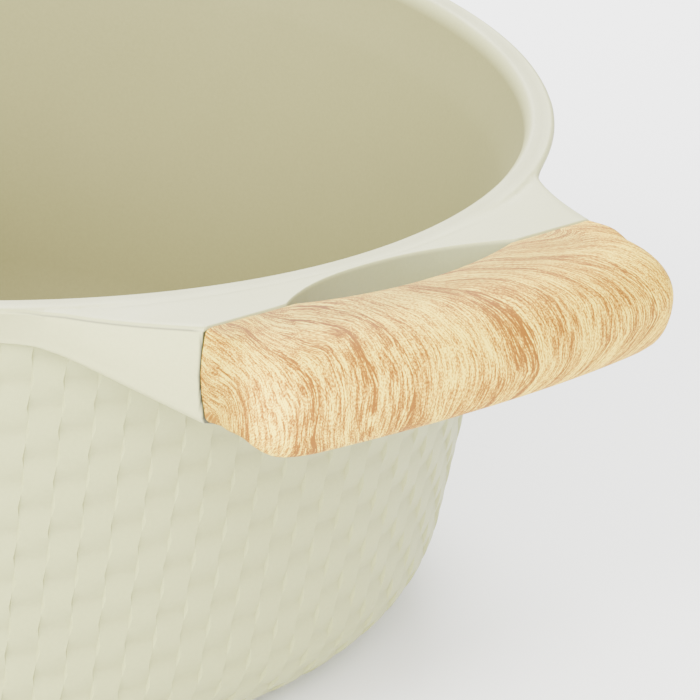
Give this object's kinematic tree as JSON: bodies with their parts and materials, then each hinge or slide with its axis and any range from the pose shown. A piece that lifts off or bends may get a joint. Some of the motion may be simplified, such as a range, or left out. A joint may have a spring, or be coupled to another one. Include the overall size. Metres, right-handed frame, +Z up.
{
  "type": "saucepan with glass lid",
  "caption": "Cast saucepan with woven-relief wall, cream ceramic coating and wood-effect side grips, and a domed glass lid with steel rim, vent and knob lying beside it.",
  "frame": {"origin": "middle of the pot base's underside", "axes": "+Z up out of the pot's mouth, +X out through the right handle; the lid lies on the -Y side"},
  "size_m": [0.3294, 0.5122, 0.1064],
  "materials": {
    "ceramic_coating": "cream ceramic coating on cast aluminium, satin, with a woven relief on the side wall",
    "wood_effect": "pale wood-grain print on heat-resistant phenolic, satin",
    "stainless_steel": "brushed stainless steel",
    "screw_steel": "plated steel",
    "tempered_glass": "clear tempered glass, polished",
    "silicone": "matt silicone rubber",
    "brass": "plain machined brass"
  },
  "bodies": {
    "pot": {"pot_wall": "ceramic_coating", "pot_base": "ceramic_coating", "induction_base_plate": "stainless_steel", "grip_right": "wood_effect", "grip_left": "wood_effect", "grip_screws_right": "screw_steel", "grip_screws_left": "screw_steel"},
    "lid": {"lid_glass": "tempered_glass", "lid_rim_band": "stainless_steel", "rim_liner": "silicone", "steam_vent_eyelet": "stainless_steel", "vent_washer": "silicone", "lid_knob": "wood_effect", "knob_collar": "stainless_steel", "knob_insert": "brass", "upper_knob_washer": "silicone", "lower_knob_washer": "silicone", "screw_washer": "screw_steel", "knob_screw": "screw_steel"}
  },
  "joints": [
    {"name": "lid_lift", "type": "slide", "parent": "pot", "child": "lid", "axis": [0, 0, 1], "range_m": [0, 0.2]}
  ]
}
